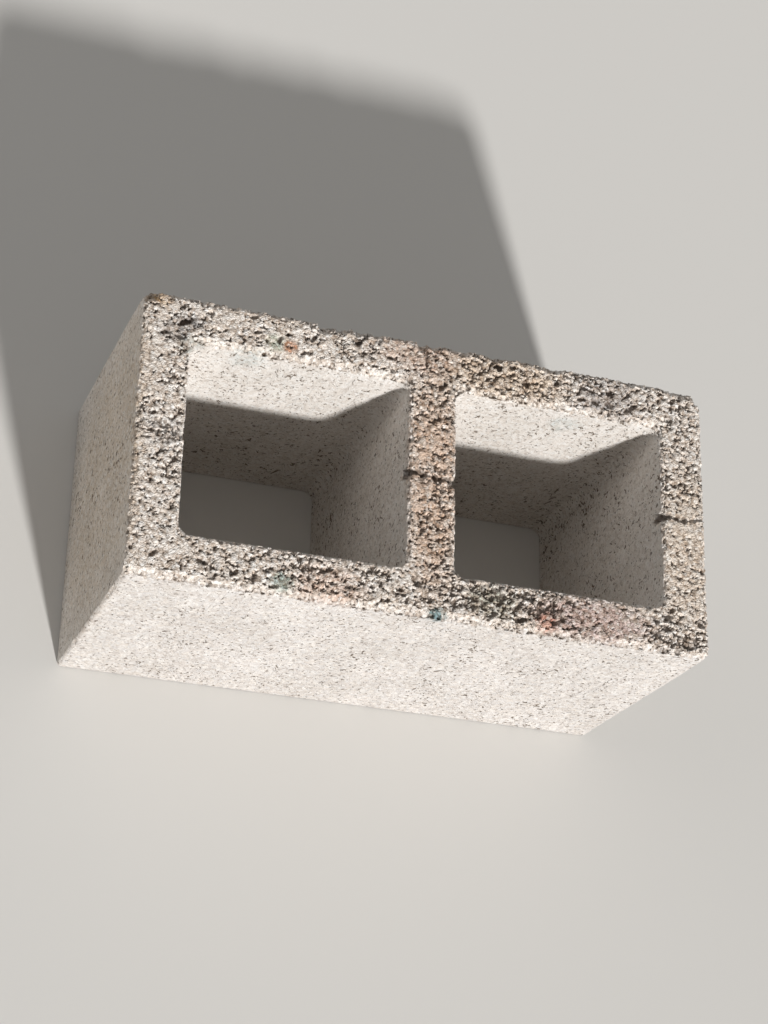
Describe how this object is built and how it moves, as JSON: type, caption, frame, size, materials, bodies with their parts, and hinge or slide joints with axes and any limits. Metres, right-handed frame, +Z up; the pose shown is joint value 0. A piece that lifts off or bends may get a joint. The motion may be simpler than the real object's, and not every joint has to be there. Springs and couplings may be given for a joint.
{
  "type": "hollow concrete block",
  "caption": "Hollow cast concrete masonry block with tapered cores open through both bed faces, plain flat ends and a core-bar groove along its top bed.",
  "frame": {"origin": "middle of the bottom bed face, on the floor that the block rests on", "axes": "+X along the block's length, +Y through its width from the front face to the back face, +Z up from the bottom bed to the top bed, as it was moulded"},
  "size_m": [0.397, 0.194, 0.194],
  "materials": {
    "dry_cast_concrete": "coarse open-textured grey concrete, rough on the bed faces and finer on the moulded faces"
  },
  "bodies": {
    "root": {"block": "dry_cast_concrete"}
  },
  "joints": []
}
